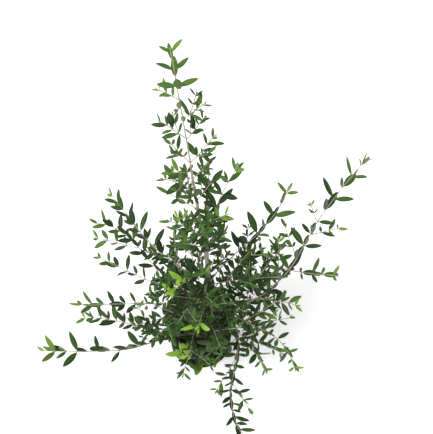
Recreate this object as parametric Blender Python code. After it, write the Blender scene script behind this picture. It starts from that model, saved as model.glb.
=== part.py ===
"""Potted olive tree: a young olive, one trunk with its leafy shoots, growing in a round nursery pot.

Metres, +Z up, origin at the middle of the pot's flat base. Headings are degrees in plan, 0 along +X
and 90 along +Y; rise is the angle above level. Every leafy shoot is one closed body: a square twig
whose side faces are drawn out into opposite leaves, each pair crossed to the pair below it.
"""

import math
import random

import bmesh
import bpy
from mathutils import Matrix, Vector
from mathutils.bvhtree import BVHTree

UP = Vector((0, 0, 1))
LIGHT = Vector((0, -0.6, 0.8))  # the way the leaves face
CLEARANCE = 0.0003  # between pieces that touch

# Pot
RIM_RADIUS = 0.086
FOOT_RADIUS = 0.077
POT_HEIGHT = 0.140
POT_WALL = 0.0022
POT_FLOOR = 0.003
LIP_HEIGHT = 0.012
LIP_REACH = 0.003
POT_SIDES = 40
DRAIN_HOLES = 8
DRAIN_RING = 0.056
DRAIN_RADIUS = 0.006
DRAIN_SIDES = 12

# Soil
SOIL_TOP = 0.124
SOIL_SWELL = 0.003
PLANTING_DEPTH = 0.035
SOCKET_SLACK = 0.0012  # of the hole in the soil round the trunk's foot

# Trunk: the middle of the stem and its radius, from the foot up
TRUNK_COURSE = (
    ((0.000, 0.000, SOIL_TOP - PLANTING_DEPTH), 0.0068),
    ((0.000, 0.000, SOIL_TOP), 0.0062),
    ((0.010, 0.000, 0.210), 0.0052),
    ((0.022, 0.000, 0.300), 0.0045),
    ((0.013, 0.000, 0.450), 0.0036),
    ((-0.003, 0.000, 0.630), 0.0026),
    ((-0.009, 0.000, 0.710), 0.0015),
    ((-0.022, 0.000, 0.855), 0.0011),
)
TRUNK_SIDES = 8
TRUNK_STEPS = 4

# Twigs and leaves
TWIG_BASE = 0.0008
TWIG_GROWTH = 0.0034  # of base radius for each metre of length
TWIG_TIP = 0.0005
TWIG_TURNS = (0, 4, -4, 8, -8, 12, -12, 18, -18, 26, -26)  # degrees of heading, tried in turn
TWIG_ROLL = 0.5  # most, in radians, that a twig's faces are turned from level
TWIG_WANDER = (5, 4)  # degrees of heading and rise
SIDE_TWIG_START = 0.004  # from the face it grows from
NODE_HEIGHT = 0.0022  # of the twig face that a leaf grows from
BUD_LENGTH = 0.004
LEAF_WIDTH = 0.33  # share of the leaf's length
LEAF_THICKNESS = 0.0012
LEAF_BELLY = 0.45  # where the leaf is widest, from its base
LEAF_DROOP = 0.04  # of the tip
LEAF_FACES = (  # of the twig face's corners 0 to 3, the right edge 4, midrib 5, left edge 6 and tip 7
    (0, 1, 4),
    (1, 5, 4),
    (1, 2, 5),
    (2, 6, 5),
    (2, 3, 6),
    (3, 4, 6),
    (3, 0, 4),
    (4, 5, 7),
    (5, 6, 7),
    (6, 4, 7),
)
LEAF_LIFT = 0.50  # how far leaves turn up to the light
LEAF_TURNS = (  # lift and roll in degrees, tried in turn
    (0, 0),
    (14, 0),
    (-14, 0),
    (0, 25),
    (0, -25),
    (22, 30),
    (22, -30),
    (-22, 40),
    (34, -40),
)
POT_ROOM = 0.003  # that shoots and leaves leave over and round the pot's rim

# Olives
OLIVE_STRETCH = 1.2
OLIVE_RINGS = 6
OLIVE_SIDES = 8
STALK_RADIUS = 0.0006
STALK_LENGTH = 0.004


def shoot(name, at, heading, rise, length, on="trunk", swing=0, sway=0, bend=0, **habit):
    """One shoot. at is a height on the trunk in metres, or a share of the shoot that it branches from;
    swing and bend are what heading and rise gain by the tip, and sway is what heading gains midway.
    habit holds the leaf length, the gap between leaf pairs, and the shares of the twig that is bare
    and of the leaves that have fallen."""
    return {
        "name": name,
        "on": on,
        "at": at,
        "heading": heading,
        "rise": rise,
        "length": length,
        "swing": swing,
        "sway": sway,
        "bend": bend,
        "leaf": 0.040,
        "gap": 0.023,
        "bare": 0.12,
        "lost": 0.1,
        **habit,
    }


LEADER = [
    shoot("leader", 0.855, 186, 86, 0.088, leaf=0.042, bare=0, gap=0.018, lost=0),
]
LONG_SHOOTS = [
    shoot("shoot_left_high", 0.300, 179, 24, 0.306, swing=-49, sway=-21, bend=-20, leaf=0.045),
    shoot("shoot_left_middle", 0.225, 176, 12, 0.350, swing=-11, sway=-45, bend=-20, leaf=0.043),
    shoot("shoot_left_under", 0.200, 165, 14, 0.260, swing=-6, leaf=0.036),
    shoot(
        "shoot_left_level", 0.155, 160, 4, 0.284,
        swing=24, sway=12, bend=4, leaf=0.043, gap=0.025, bare=0.3,
    ),
    shoot("shoot_left_low", 0.165, 243, 0, 0.322, swing=-64, sway=-50, bend=-20),
    shoot(
        "shoot_left_longest", 0.145, 241, 20, 0.400,
        swing=-60, sway=-11, bend=-7, leaf=0.045, bare=0.25, lost=0.25,
    ),
    shoot("shoot_back_right", 0.440, 59, 68, 0.192, swing=-36, sway=-13, bend=-4, leaf=0.048, gap=0.030),
    shoot(
        "shoot_right_middle", 0.260, 50, 38, 0.302,
        swing=2, sway=-38, bend=21, leaf=0.050, gap=0.029, bare=0.3,
    ),
    shoot(
        "shoot_right_tall", 0.175, -39, 28, 0.542,
        swing=65, sway=50, bend=23, leaf=0.052, gap=0.032, bare=0.2,
    ),
    shoot("shoot_front_right", 0.160, -26, 18, 0.288, swing=-56, sway=20, bend=-16, leaf=0.036, gap=0.020),
    shoot("shoot_front", 0.150, 0, 17, 0.399, swing=-36, sway=-84, bend=-33, leaf=0.034, gap=0.015, lost=0),
    shoot("shoot_over_rim", 0.152, -40, 6, 0.200, swing=-180, sway=20, leaf=0.052, gap=0.026, lost=0),
]
SIDE_TWIGS = [
    shoot("left_high_riser", 0.22, 105, 62, 0.085, on="shoot_left_high", leaf=0.034),
    shoot("left_middle_fork", 0.62, 172, 12, 0.095, on="shoot_left_middle", leaf=0.041),
    shoot("left_low_riser", 0.40, 130, 45, 0.055, on="shoot_left_low", leaf=0.032),
    shoot("right_middle_low", 0.30, -8, 25, 0.070, on="shoot_right_middle", leaf=0.037),
    shoot("right_tall_inner", 0.22, 85, 55, 0.110, on="shoot_right_tall", leaf=0.037),
    shoot("right_tall_outer", 0.30, -28, 24, 0.090, on="shoot_right_tall", leaf=0.038, gap=0.018),
    shoot("right_tall_back", 0.39, 95, 55, 0.085, on="shoot_right_tall", leaf=0.039),
    shoot("right_tall_side", 0.45, -22, 22, 0.100, on="shoot_right_tall", leaf=0.039),
    shoot("right_tall_upper", 0.62, -8, 30, 0.060, on="shoot_right_tall", leaf=0.030),
    shoot("right_tall_low", 0.20, -20, 16, 0.090, on="shoot_right_tall", leaf=0.036),
    shoot("right_tall_mid", 0.52, 115, 40, 0.070, on="shoot_right_tall", leaf=0.033),
    shoot("right_tall_spur", 0.70, 118, 45, 0.035, on="shoot_right_tall", leaf=0.026),
    shoot("front_right_fork", 0.35, -68, -4, 0.130, on="shoot_front_right", leaf=0.034),
    shoot("front_right_side", 0.50, 8, 10, 0.075, on="shoot_front_right", leaf=0.034),
    shoot("front_fork", 0.48, -124, -14, 0.075, on="shoot_front", leaf=0.036, gap=0.017),
    shoot("front_side", 0.30, -30, 4, 0.110, on="shoot_front", leaf=0.036, gap=0.020),
    shoot("front_inner", 0.62, -52, -26, 0.060, on="shoot_front", leaf=0.034, gap=0.018),
    shoot("front_rim", 0.34, -135, -12, 0.065, on="shoot_front", leaf=0.036, gap=0.016),
]
TRUNK_TWIGS = [
    shoot("twig_left_top", 0.845, 175, 30, 0.034, leaf=0.026, gap=0.011, bare=0),
    shoot("twig_right_top", 0.800, 5, 45, 0.044, leaf=0.030, gap=0.013),
    shoot("twig_left_olive", 0.755, 172, 38, 0.052, leaf=0.030, gap=0.014),
    shoot("twig_right_slim", 0.750, 28, 50, 0.046, leaf=0.026, gap=0.013),
    shoot("twig_right_upper", 0.690, 26, 45, 0.060, leaf=0.033, gap=0.016),
    shoot("twig_left_upper", 0.690, 165, 52, 0.048, leaf=0.029, gap=0.014),
    shoot("twig_left_bright", 0.665, 205, 22, 0.038, leaf=0.033, gap=0.014),
    shoot("twig_right_short", 0.645, 20, 50, 0.042, leaf=0.032, gap=0.014),
    shoot("twig_left_level", 0.635, 190, 18, 0.051, leaf=0.037, gap=0.015),
    shoot("twig_left_back", 0.595, 160, 50, 0.053, leaf=0.035, gap=0.016),
    shoot("twig_right_dark", 0.580, 30, 52, 0.044, leaf=0.046, gap=0.016),
    shoot("twig_front_upper", 0.610, 262, 30, 0.040, leaf=0.034, gap=0.015),
    shoot("twig_left_long", 0.555, 172, 36, 0.062, leaf=0.040, gap=0.018),
    shoot("twig_left_tender", 0.520, 218, 45, 0.066, leaf=0.030, gap=0.015),
    shoot("twig_right_bright", 0.500, -20, 50, 0.070, leaf=0.035, gap=0.016),
    shoot("twig_left_mid", 0.475, 192, 44, 0.080, leaf=0.034, gap=0.016),
    shoot("twig_front_mid", 0.470, 275, 55, 0.080, leaf=0.032, gap=0.016),
    shoot("twig_right_mid", 0.430, -42, 58, 0.090, leaf=0.034, gap=0.016),
    shoot("twig_left_lower", 0.425, 224, 50, 0.085, leaf=0.034, gap=0.016),
    shoot("twig_front_bright", 0.345, 231, 23, 0.125, leaf=0.042, gap=0.020, bare=0.5),
    shoot("twig_upright", 0.330, 88, 66, 0.230, leaf=0.035, gap=0.018),
    shoot(
        "twig_front_pair", 0.300, 265, -7, 0.116,
        swing=-13, bend=13, leaf=0.070, gap=0.029, bare=0.8, lost=0,
    ),
]
FRONT_TWIGS = [
    shoot("front_bright_fork", 0.2, 285, 55, 0.060, on="twig_front_bright", leaf=0.032, gap=0.015),
]
SPUR_TURN = 60  # degrees from the heading of the twig it grows on


def spurs():
    """A short leafy twig near the foot of most twigs, on alternate sides."""
    leafy = [twig for twig in TRUNK_TWIGS if twig["bare"] < 0.5 and twig["length"] > 0.04]
    grown = []
    for k, twig in enumerate(leafy):
        aim = twig["heading"] + SPUR_TURN * (-1) ** k
        spur = shoot(twig["name"] + "_spur", 0.3, aim, twig["rise"], 0.028, on=twig["name"], lost=0)
        grown.append({**spur, "leaf": 0.85 * twig["leaf"], "gap": 0.013})
    return grown


CROWN_FANS = (  # name, count, height of the lowest, climb, heading of the first, step, rise, length, gap
    ("front", 6, 0.156, 0.010, 202, 28, 20, 0.160, 0.016),
    ("left", 4, 0.215, 0.035, 170, 37, 26, 0.115, 0.018),
    ("right", 4, 0.190, 0.028, -36, 22, 26, 0.170, 0.016),
    ("back", 3, 0.215, 0.045, 70, 42, 40, 0.135, 0.020),
)
CROWN_BEND = -16
CROWN_FORKS = ((1, 0.25), (-1, 0.45), (1, 0.7))  # side, 1 to the left, and place along it of each side twig


def crown_shoots():
    """The short shoots that crowd the foot of the trunk, each with its side twigs."""
    grown = []
    for fan, count, lowest, climb, first, step, least_rise, least_length, gap in CROWN_FANS:
        for k in range(count):
            name = f"crown_{fan}_{k + 1}"
            heading = first + step * k
            rise = least_rise + 12 * (k % 2)
            length = least_length + 0.012 * (k % 3)
            height = lowest + climb * (3 * k % count)
            grown.append(shoot(name, height, heading, rise, length, bend=CROWN_BEND, leaf=0.035, gap=gap))
            for side, share in CROWN_FORKS:
                aim = heading + 50 * side
                fork = shoot(f"{name}_fork_{share}", share, aim, rise + 8, 0.45 * length, on=name)
                grown.append({**fork, "leaf": 0.031, "gap": 0.017})
    return grown


SHOOTS = LEADER + LONG_SHOOTS + SIDE_TWIGS + TRUNK_TWIGS + FRONT_TWIGS + spurs() + crown_shoots()

# Olives: what each hangs from, its height on the trunk or share of that shoot, and the way it hangs
OLIVES = (
    {"name": "olive_top", "on": "trunk", "at": 0.843, "heading": 268, "rise": 0, "radius": 0.0048},
    {"name": "olive_upper", "on": "trunk", "at": 0.812, "heading": 285, "rise": -20, "radius": 0.0042},
    {"name": "olive_small", "on": "trunk", "at": 0.824, "heading": 196, "rise": -15, "radius": 0.0028},
    {"name": "olive_left", "on": "shoot_left_level", "at": 0.45, "heading": 262, "rise": -30, "radius": 0.0042},
    {"name": "olive_right", "on": "shoot_right_middle", "at": 0.55, "heading": 275, "rise": -30, "radius": 0.0042},
)


def mix(a, b, share):
    return a + (b - a) * share


def direction(heading, rise):
    turn = Matrix.Rotation(math.radians(heading), 3, "Z") @ Matrix.Rotation(math.radians(-rise), 3, "Y")
    return turn @ Vector((1, 0, 0))


def smooth_curve(values, share):
    """A Catmull-Rom curve through the values."""
    place = share * (len(values) - 1)
    i = min(int(place), len(values) - 2)
    t = place - i
    a, b, c, d = (values[min(max(i + k, 0), len(values) - 1)] for k in (-1, 0, 1, 2))
    quadratic = 2 * a - 5 * b + 4 * c - d
    cubic = 3 * b - a - 3 * c + d
    return 0.5 * (2 * b + (c - a) * t + quadratic * t**2 + cubic * t**3)


def trunk_line():
    """Points and radii up the trunk."""
    points = [Vector(point) for point, _ in TRUNK_COURSE]
    radii = [radius for _, radius in TRUNK_COURSE]
    steps = TRUNK_STEPS * (len(points) - 1)
    shares = [i / steps for i in range(steps + 1)]
    return [(smooth_curve(points, share), smooth_curve(radii, share)) for share in shares]


def place_on_trunk(line, height):
    """The trunk's middle, radius and direction at a height."""
    i = next((i for i in range(1, len(line)) if height < line[i][0].z), len(line) - 1)
    (low, low_radius), (high, high_radius) = line[i - 1 : i + 1]
    share = min(1, (height - low.z) / (high.z - low.z))
    return mix(low, high, share), mix(low_radius, high_radius, share), (high - low).normalized()


def start_on_trunk(spec, turn, trunk):
    """Where a shoot starts, just clear of the trunk's side, or of its end for the leader."""
    foot, thickness, along = place_on_trunk(trunk, spec["at"])
    aim = direction(spec["heading"] + turn, spec["rise"])
    if spec in LEADER:
        return foot + along * 2 * CLEARANCE, thickness
    out = (aim - along * aim.dot(along)).normalized()
    radius = TWIG_BASE + TWIG_GROWTH * spec["length"]
    tilted = radius * math.sqrt(1 - aim.dot(out) ** 2)
    return foot + out * (thickness + tilted + 2 * CLEARANCE), radius


def side_face(stem, spec):
    """The leaf pair, and the twig face there, that a side twig grows from."""
    node = max(1, round(spec["at"] * (len(stem["line"]) - 1)))
    aim = direction(spec["heading"], spec["rise"])
    faces = stem["sides"][node][1]
    return node, max(range(4), key=lambda k: faces[k].dot(aim))


def start_on_shoot(spec, turn, stem):
    node, side = side_face(stem, spec)
    face = leaf_face(stem, node, side)
    aim = direction(spec["heading"] + turn, spec["rise"])
    radius = min(TWIG_BASE + TWIG_GROWTH * spec["length"], 0.9 * stem["line"][node][1])
    return middle(face) + (aim + stem["sides"][node][1][side]).normalized() * SIDE_TWIG_START, radius


def stem_line(spec, turn, start, base_radius):
    """A twig's points, one at each leaf pair, with its radius there."""
    rng = random.Random(spec["name"])
    count = max(2, round(spec["length"] / spec["gap"]))
    point = start
    line = [(point, base_radius)]
    for i in range(count):
        share = (i + 0.5) / count
        swerve, nod = (rng.uniform(-most, most) for most in TWIG_WANDER)
        heading = spec["heading"] + turn + spec["swing"] * share + swerve
        heading += spec["sway"] * math.sin(math.pi * share)
        rise = spec["rise"] + spec["bend"] * share + nod
        point = point + direction(heading, rise) * (spec["length"] / count)
        line.append((point, mix(base_radius, TWIG_TIP, (i + 1) / count)))
    return line


def stem_rings(line, roll):
    """Square rings along a twig, one at its foot and two at each leaf pair, and its axis and faces there."""
    rings = []
    sides = []
    for i, (point, radius) in enumerate(line):
        before = line[max(i - 1, 0)][0]
        after = line[min(i + 1, len(line) - 1)][0]
        axis = (after - before).normalized()
        level = axis.cross(UP).normalized()
        faces = [Matrix.Rotation(roll + k * math.pi / 2, 3, axis) @ level for k in range(4)]
        corners = [(faces[k] + faces[k - 1]).normalized() * radius for k in range(4)]
        for height in (0,) if i == 0 else (-0.5, 0.5):
            rings.append([point + axis * height * NODE_HEIGHT + corner for corner in corners])
        sides.append((axis, faces))
    return rings, sides


def level_ring(radius, height, count):
    """Corners round the Z axis, outside a circle of the radius."""
    reach = radius / math.cos(math.pi / count)
    angles = [2 * math.pi * k / count for k in range(count)]
    return [Vector((reach * math.cos(a), reach * math.sin(a), height)) for a in angles]


def round_rings(line, count):
    """Level rings outside the circles of a line of points and radii."""
    return [[point + corner for corner in level_ring(radius, 0, count)] for point, radius in line]


def solid_of(rings, name):
    """What the growing stems and leaves are kept clear of: a name, a search tree and a box."""
    points = [corner for ring in rings for corner in ring]
    n = len(rings[0])
    faces = [
        (n * i + k, n * i + (k + 1) % n, n * i + n + (k + 1) % n, n * i + n + k)
        for i in range(len(rings) - 1)
        for k in range(n)
    ]
    return name, BVHTree.FromPolygons(points, faces), box_of(points)


def box_of(points):
    return [min(p[a] for p in points) for a in range(3)], [max(p[a] for p in points) for a in range(3)]


def middle(points):
    return sum(points, Vector()) / len(points)


def meets(solid, others):
    _, tree, (low, high) = solid
    return any(
        all(low[k] <= other_high[k] and other_low[k] <= high[k] for k in range(3)) and tree.overlap(other)
        for _, other, (other_low, other_high) in others
    )


def over_pot_or_floor(points):
    """True where every point stays off the floor and out of the pot and the watering space in it."""
    reach = RIM_RADIUS + POT_ROOM
    return all(
        p.z > POT_ROOM and (p.z > POT_HEIGHT + POT_ROOM or math.hypot(p.x, p.y) > reach) for p in points
    )


def grow_stems(trunk, solids):
    """Every twig's line and rings, each turned a little where it would run into another."""
    stems = {}
    for spec in SHOOTS:
        roll = random.Random(spec["name"] + " roll").uniform(-TWIG_ROLL, TWIG_ROLL)
        parent = stems.get(spec["on"])
        for turn in TWIG_TURNS:
            start, radius = start_on_shoot(spec, turn, parent) if parent else start_on_trunk(spec, turn, trunk)
            line = stem_line(spec, turn, start, radius)
            rings, sides = stem_rings(line, roll)
            bud = line[-1][0] + sides[-1][0] * BUD_LENGTH
            tip = [mix(bud, corner, 0.1) for corner in rings[-1]]
            clear = over_pot_or_floor(sum(rings, tip))
            if clear and not meets(solid_of([*rings, tip], spec["name"]), solids):
                break
        else:
            print("no room for", spec["name"])
            continue
        stem = {"spec": spec, "line": line, "rings": rings, "sides": sides, "bud": bud, "grown": {}}
        foot = []
        if parent:
            place = side_face(parent, spec)
            parent["grown"][place] = stem
            face = leaf_face(parent, *place)
            shift = least_twist(rings[0], face)
            foot = [[mix(face[(k + shift) % 4], rings[0][k], 0.15) for k in range(4)]]
        stems[spec["name"]] = stem
        solids.append(solid_of([*foot, *rings, tip], spec["name"]))
    return stems


def leaf_points(leaf):
    """The right edge, the raised midrib and the left edge at a leaf's widest place, and its tip."""
    belly = leaf["base"] + leaf["aim"] * leaf["length"] * LEAF_BELLY
    wide = leaf["across"] * leaf["length"] * LEAF_WIDTH / 2
    tip = leaf["base"] + leaf["aim"] * leaf["length"] - leaf["normal"] * leaf["length"] * LEAF_DROOP
    return [belly + wide, belly + leaf["normal"] * LEAF_THICKNESS, belly - wide, tip]


def least_twist(base, ring):
    """How many corners to turn a ring of four by, so that it follows on from the base with the least twist."""

    def spokes(corners):
        reach = max((corner - middle(corners)).length for corner in corners)
        return [(corner - middle(corners)) / reach for corner in corners]

    low, high = spokes(base), spokes(ring)
    return min(range(4), key=lambda turn: sum((low[k] - high[(k + turn) % 4]).length for k in range(4)))


def leaf_foot(face, leaf):
    """The order of a twig face's corners that starts at the leaf's lower right."""
    right, left = leaf["across"], -leaf["across"]
    up = leaf["normal"]
    turn = least_twist([right - up, right + up, left + up, left - up], face)
    return [(k + turn) % 4 for k in range(4)]


def leaf_solid(face, leaf):
    points = [face[k] for k in leaf_foot(face, leaf)] + leaf_points(leaf)
    return "leaf", BVHTree.FromPolygons(points, [(0, 1, 2, 3), *LEAF_FACES]), box_of(points)


def hang_olives(trunk, stems, solids):
    """Where each olive's stalk starts, the way it hangs and its outline, from the stalk's foot on."""
    olives = []
    for olive in OLIVES:
        hang = direction(olive["heading"], olive["rise"])
        if olive["on"] == "trunk":
            foot, thickness, along = place_on_trunk(trunk, olive["at"])
            out = (hang - along * hang.dot(along)).normalized()
            foot = foot + out * thickness
        else:
            stem = stems[olive["on"]]
            node, side = side_face(stem, olive)
            foot = middle(leaf_face(stem, node, side))
            out = stem["sides"][node][1][side]
        foot = foot + out * (STALK_RADIUS + 2 * CLEARANCE)
        turn = (hang + out).to_track_quat("Z", "Y").to_matrix()
        outline = olive_outline(olive["radius"])
        rings = [[foot + turn @ corner for corner in level_ring(radius, z, 8)] for radius, z in outline]
        solids.append(solid_of(rings, olive["name"]))
        olives.append((olive["name"], Matrix.Translation(foot) @ turn.to_4x4(), outline))
    return olives


def olive_outline(radius):
    """Radii and heights from the foot of the stalk to the olive's far end."""
    half = radius * OLIVE_STRETCH
    angles = [math.pi * (k + 1) / (OLIVE_RINGS + 1) for k in range(OLIVE_RINGS)]
    body = [(radius * math.sin(a), STALK_LENGTH + half - half * math.cos(a)) for a in angles]
    return [(0, 0), (STALK_RADIUS, 0), (STALK_RADIUS, STALK_LENGTH), *body, (0, STALK_LENGTH + 2 * half)]


def leaf_at(stem, node, side, rng):
    """A leaf's base, direction, upper side and length at one face of a leaf pair."""
    last = len(stem["line"]) - 1
    axis, faces = stem["sides"][node]
    spread = math.radians(mix(72, 48, node / last) + rng.uniform(-9, 9))
    to_light = (UP - axis * axis.z) * LEAF_LIFT
    aim = axis * math.cos(spread) + faces[side] * math.sin(spread) + to_light
    youth = min(1, 0.7 + 0.2 * (last - node))
    return {
        "base": middle(leaf_face(stem, node, side)),
        "aim": aim.normalized(),
        "facing": LIGHT + axis * 0.3 + faces[side] * rng.uniform(-0.35, 0.35),
        "roll": rng.gauss(0, 18),
        "length": stem["spec"]["leaf"] * youth * rng.uniform(0.7, 1.14),
        "youth": node / last,
    }


def turned(leaf, lift, roll):
    """The leaf bent up by lift degrees and rolled by roll degrees, with its normal and width directions."""
    across = leaf["aim"].cross(leaf["facing"]).normalized()
    aim = Matrix.Rotation(math.radians(lift), 3, across) @ leaf["aim"]
    normal = (leaf["facing"] - aim * leaf["facing"].dot(aim)).normalized()
    normal = Matrix.Rotation(math.radians(leaf["roll"] + roll), 3, aim) @ normal
    return {**leaf, "aim": aim, "normal": normal, "across": normal.cross(aim)}


def leaf_face(stem, node, side):
    """The twig face that a leaf grows from, its corners turning right-handed about its outward direction."""
    low, high = stem["rings"][2 * node - 1], stem["rings"][2 * node]
    return [low[side], low[(side + 1) % 4], high[(side + 1) % 4], high[side]]


def grow_leaves(stems, solids):
    """Leaves on every twig, each turned until it is clear of what has grown, or fallen if it never is."""
    for name, stem in stems.items():
        spec = stem["spec"]
        rng = random.Random(name + " leaves")
        others = [solid for solid in solids if solid[0] != name]
        last = len(stem["line"]) - 1
        for node in range(1, last + 1):
            for side in (node % 2, node % 2 + 2):
                leaf = leaf_at(stem, node, side, rng)
                falls = rng.random() < spec["lost"] and node < last - 1
                if falls or node / last <= spec["bare"] or (node, side) in stem["grown"]:
                    continue
                face = leaf_face(stem, node, side)
                for lift, roll in LEAF_TURNS:
                    turn = turned(leaf, lift, roll)
                    solid = leaf_solid(face, turn)
                    if over_pot_or_floor(leaf_points(turn)) and not meets(solid, others):
                        stem["grown"][node, side] = turn
                        solids.append(solid)
                        others.append(solid)
                        break


def finish(name, shape, colour, roughness):
    """A named object with its own material."""
    mesh = bpy.data.meshes.new(name)
    shape.normal_update()
    shape.to_mesh(mesh)
    shape.free()
    thing = bpy.data.objects.new(name, mesh)
    bpy.context.scene.collection.objects.link(thing)
    material = bpy.data.materials.new(name)
    material.use_nodes = True
    shader = material.node_tree.nodes["Principled BSDF"]
    shader.inputs["Base Color"].default_value = (*colour, 1)
    shader.inputs["Roughness"].default_value = roughness
    shader.inputs["Metallic"].default_value = 0
    mesh.materials.append(material)
    return thing


def skin_twig(shape, stem, foot):
    """Skins a twig, from the parent's face where it has one, with its leaves and its side twigs."""
    rings = [[shape.verts.new(corner) for corner in ring] for ring in stem["rings"]]
    if foot:
        turn = least_twist([v.co for v in rings[0]], [v.co for v in foot])
        skin_sleeve(shape, [foot[(k + turn) % 4] for k in range(4)], rings[0], {}, 0)
    else:
        shape.faces.new(reversed(rings[0]))
    for i, (low, high) in enumerate(zip(rings, rings[1:])):
        skin_sleeve(shape, low, high, stem["grown"] if i % 2 else {}, (i + 1) // 2)
    bud = shape.verts.new(stem["bud"])
    for k in range(4):
        shape.faces.new((rings[-1][k], rings[-1][(k + 1) % 4], bud))


def skin_sleeve(shape, low, high, grown, node):
    """The four faces between two rings, or what has grown from them."""
    for side in range(4):
        base = [low[side], low[(side + 1) % 4], high[(side + 1) % 4], high[side]]
        growth = grown.get((node, side))
        if growth is None:
            shape.faces.new(base)
        elif "line" in growth:
            skin_twig(shape, growth, base)
        else:
            skin_leaf(shape, growth, base)


def skin_leaf(shape, leaf, base):
    foot = leaf_foot([v.co for v in base], leaf)
    verts = [base[k] for k in foot] + [shape.verts.new(point) for point in leaf_points(leaf)]
    for corners in LEAF_FACES:
        shape.faces.new([verts[k] for k in corners])


def build_shoot(stem):
    shape = bmesh.new()
    skin_twig(shape, stem, None)
    bmesh.ops.triangulate(shape, faces=shape.faces)
    finish(stem["spec"]["name"], shape, (0.055, 0.125, 0.035), 0.5)


def turned_solid(profile, sides):
    """A closed solid turned about Z. The profile runs from the axis at the bottom, round the outside and back."""
    shape = bmesh.new()
    rows = []
    for radius, height in profile:
        if radius == 0:
            rows.append([shape.verts.new((0, 0, height))])
            continue
        angles = [2 * math.pi * k / sides for k in range(sides)]
        rows.append([shape.verts.new((radius * math.cos(a), radius * math.sin(a), height)) for a in angles])
    for low, high in zip(rows, rows[1:]):
        for k in range(sides):
            a, b = low[k % len(low)], low[(k + 1) % len(low)]
            c, d = high[(k + 1) % len(high)], high[k % len(high)]
            shape.faces.new(list(dict.fromkeys((a, b, c, d))))
    return shape


def build_olive(name, place, outline):
    shape = turned_solid(outline, OLIVE_SIDES)
    shape.transform(place)
    bmesh.ops.triangulate(shape, faces=shape.faces)
    finish(name, shape, (0.16, 0.20, 0.10), 0.35)


def wall_radius(height):
    return mix(FOOT_RADIUS, RIM_RADIUS - LIP_REACH, height / POT_HEIGHT)


def build_pot():
    lip_bottom = POT_HEIGHT - LIP_HEIGHT
    inside = [(wall_radius(z) - POT_WALL, z) for z in (POT_HEIGHT, POT_FLOOR)]
    profile = [
        (0, 0),
        (FOOT_RADIUS - 0.001, 0),
        (FOOT_RADIUS, 0.001),
        (wall_radius(lip_bottom), lip_bottom),
        (RIM_RADIUS, lip_bottom),
        (RIM_RADIUS, POT_HEIGHT - 0.001),
        (RIM_RADIUS - 0.001, POT_HEIGHT),
        *inside,
        (0, POT_FLOOR),
    ]
    pot = finish("nursery_pot", turned_solid(profile, POT_SIDES), (0.012, 0.012, 0.014), 0.45)
    drains = bmesh.new()
    for k in range(DRAIN_HOLES):
        turn = Matrix.Rotation(2 * math.pi * k / DRAIN_HOLES, 4, "Z")
        spot = turn @ Matrix.Translation((DRAIN_RING, 0, POT_FLOOR / 2))
        bmesh.ops.create_cone(
            drains,
            cap_ends=True,
            segments=DRAIN_SIDES,
            radius1=DRAIN_RADIUS,
            radius2=DRAIN_RADIUS,
            depth=3 * POT_FLOOR,
            matrix=spot,
        )
    cutter = finish("drain_cutter", drains, (1, 1, 1), 0.5)
    cutter.hide_render = True
    cutter.display_type = "WIRE"
    cut = pot.modifiers.new("drains", "BOOLEAN")
    cut.object = cutter
    cut.operation = "DIFFERENCE"


def build_soil():
    floor = POT_FLOOR + CLEARANCE
    socket = TRUNK_COURSE[0][1] + SOCKET_SLACK
    edge = SOIL_TOP - SOIL_SWELL
    gap = POT_WALL + 2 * CLEARANCE
    profile = [
        (0, floor),
        (wall_radius(floor) - gap, floor),
        (wall_radius(edge) - gap, edge),
        (0.6 * RIM_RADIUS, SOIL_TOP - 0.2 * SOIL_SWELL),
        (socket, SOIL_TOP),
        (socket, SOIL_TOP - PLANTING_DEPTH - CLEARANCE),
        (0, SOIL_TOP - PLANTING_DEPTH - CLEARANCE),
    ]
    finish("soil", turned_solid(profile, POT_SIDES), (0.035, 0.022, 0.015), 0.95)


def build_trunk(line):
    shape = bmesh.new()
    rings = []
    for i, (point, radius) in enumerate(line):
        before = line[max(i - 1, 0)][0]
        after = line[min(i + 1, len(line) - 1)][0]
        axis = (after - before).normalized()
        side = axis.cross(Vector((0, 1, 0))).normalized()
        spins = [Matrix.Rotation(2 * math.pi * k / TRUNK_SIDES, 3, axis) for k in range(TRUNK_SIDES)]
        rings.append([shape.verts.new(point + spin @ side * radius) for spin in spins])
    shape.faces.new(reversed(rings[0]))
    shape.faces.new(rings[-1])
    for low, high in zip(rings, rings[1:]):
        for k in range(TRUNK_SIDES):
            after = (k + 1) % TRUNK_SIDES
            shape.faces.new((low[k], low[after], high[after], high[k]))
    finish("trunk", shape, (0.33, 0.29, 0.22), 0.8)


def build_all():
    for thing in list(bpy.data.objects):
        bpy.data.objects.remove(thing)
    trunk = trunk_line()
    pot_line = [(Vector((0, 0, 0)), FOOT_RADIUS), (Vector((0, 0, POT_HEIGHT)), RIM_RADIUS)]
    solids = [
        solid_of(round_rings(trunk, 2 * TRUNK_SIDES), "trunk"),
        solid_of(round_rings(pot_line, POT_SIDES), "pot"),
    ]
    stems = grow_stems(trunk, solids)
    olives = hang_olives(trunk, stems, solids)
    grow_leaves(stems, solids)
    build_pot()
    build_soil()
    build_trunk(trunk)
    for stem in stems.values():
        if stem["spec"]["on"] == "trunk":
            build_shoot(stem)
    for name, place, outline in olives:
        build_olive(name, place, outline)
    leaves = sum("line" not in grown for stem in stems.values() for grown in stem["grown"].values())
    print(leaves, "leaves on", len(stems), "twigs")


build_all()
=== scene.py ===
import math
import random

import bpy
import numpy as np
from mathutils import Matrix, Vector, noise
from mathutils.bvhtree import BVHTree


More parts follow.
